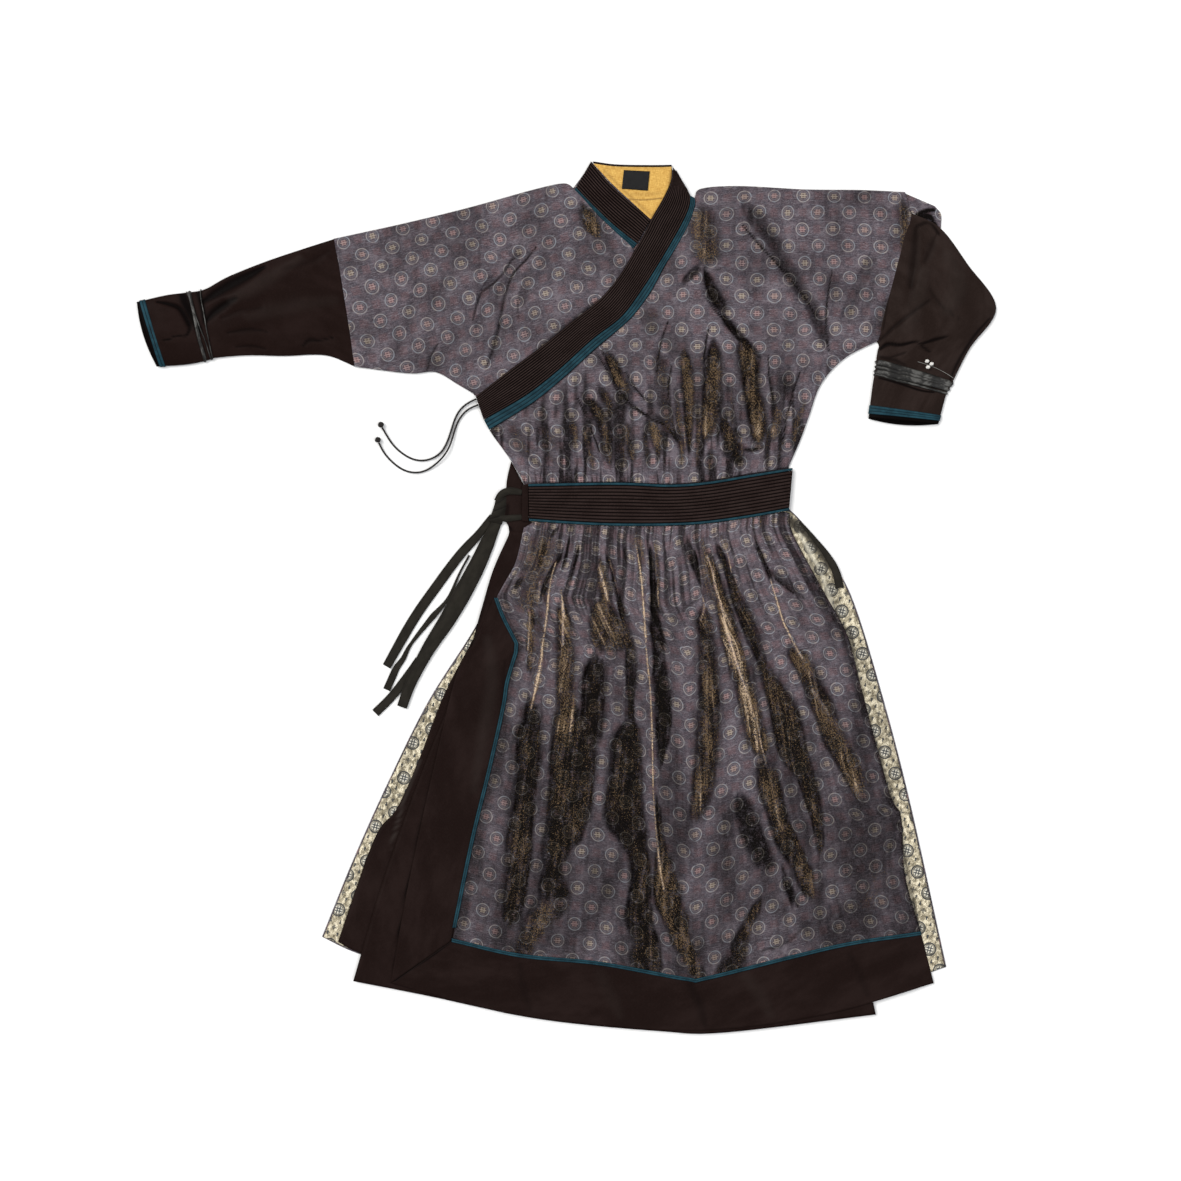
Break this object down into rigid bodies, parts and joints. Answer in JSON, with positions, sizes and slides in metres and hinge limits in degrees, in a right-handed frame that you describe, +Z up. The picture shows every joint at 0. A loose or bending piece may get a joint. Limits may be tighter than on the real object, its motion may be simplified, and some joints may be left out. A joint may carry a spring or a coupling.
{
  "type": "wrap-over robe",
  "caption": "Wrap-over robe with a gathered skirt, standing collar, belt band and tie ribbons, laid flat and face up.",
  "frame": {"origin": "centre of the bounding box, on the surface the robe lies on", "axes": "+Y from hem to collar, +X to the viewer's right (the wearer's left), +Z up through the cloth"},
  "size_m": [1.29, 1.3074, 0.0164],
  "materials": {
    "brocade": "satin",
    "dark_cloth": "satin",
    "ridged_band": "matte",
    "teal_piping": "satin",
    "cream_lining": "matte",
    "mustard_lining": "matte",
    "label": "matte",
    "ribbon": "matte",
    "lace": "satin",
    "cord": "matte",
    "bead": "gloss"
  },
  "bodies": {
    "root": {"bodice_back": "brocade", "bodice_front": "brocade", "bodice_under": "brocade", "border_hem": "dark_cloth", "border_side": "dark_cloth", "collar_over": "ridged_band", "collar_under": "ridged_band", "cord_knot_a": "cord", "cord_knot_b": "cord", "cuff_piping_left": "teal_piping", "cuff_piping_right": "teal_piping", "label": "label", "neck_edge": "dark_cloth", "neck_lining": "mustard_lining", "piping_hem": "teal_piping", "piping_over": "teal_piping", "piping_side": "teal_piping", "piping_under": "teal_piping", "ribbon_a": "ribbon", "ribbon_b": "ribbon", "ribbon_c": "ribbon", "ribbon_d": "ribbon", "shoulder_flap": "brocade", "side_cord_a": "cord", "side_cord_b": "cord", "skirt_back": "brocade", "skirt_front": "brocade", "skirt_lining": "cream_lining", "skirt_pleat": "dark_cloth", "skirt_under": "dark_cloth", "sleeve_left": "dark_cloth", "sleeve_right": "dark_cloth", "tie_knot": "ribbon", "tie_loop_lower": "ribbon", "tie_loop_upper": "ribbon", "tie_right": "ribbon", "waist_underlay": "dark_cloth", "waistband_back": "ridged_band", "waistband_end": "dark_cloth", "waistband_front": "ridged_band", "waistband_piping_low": "teal_piping", "waistband_piping_top": "teal_piping", "wrist_cord_left": "lace", "wrist_knot_right": "bead", "wrist_lace_left": "lace", "wrist_lace_right_1": "lace", "wrist_lace_right_2": "lace"}
  },
  "joints": []
}
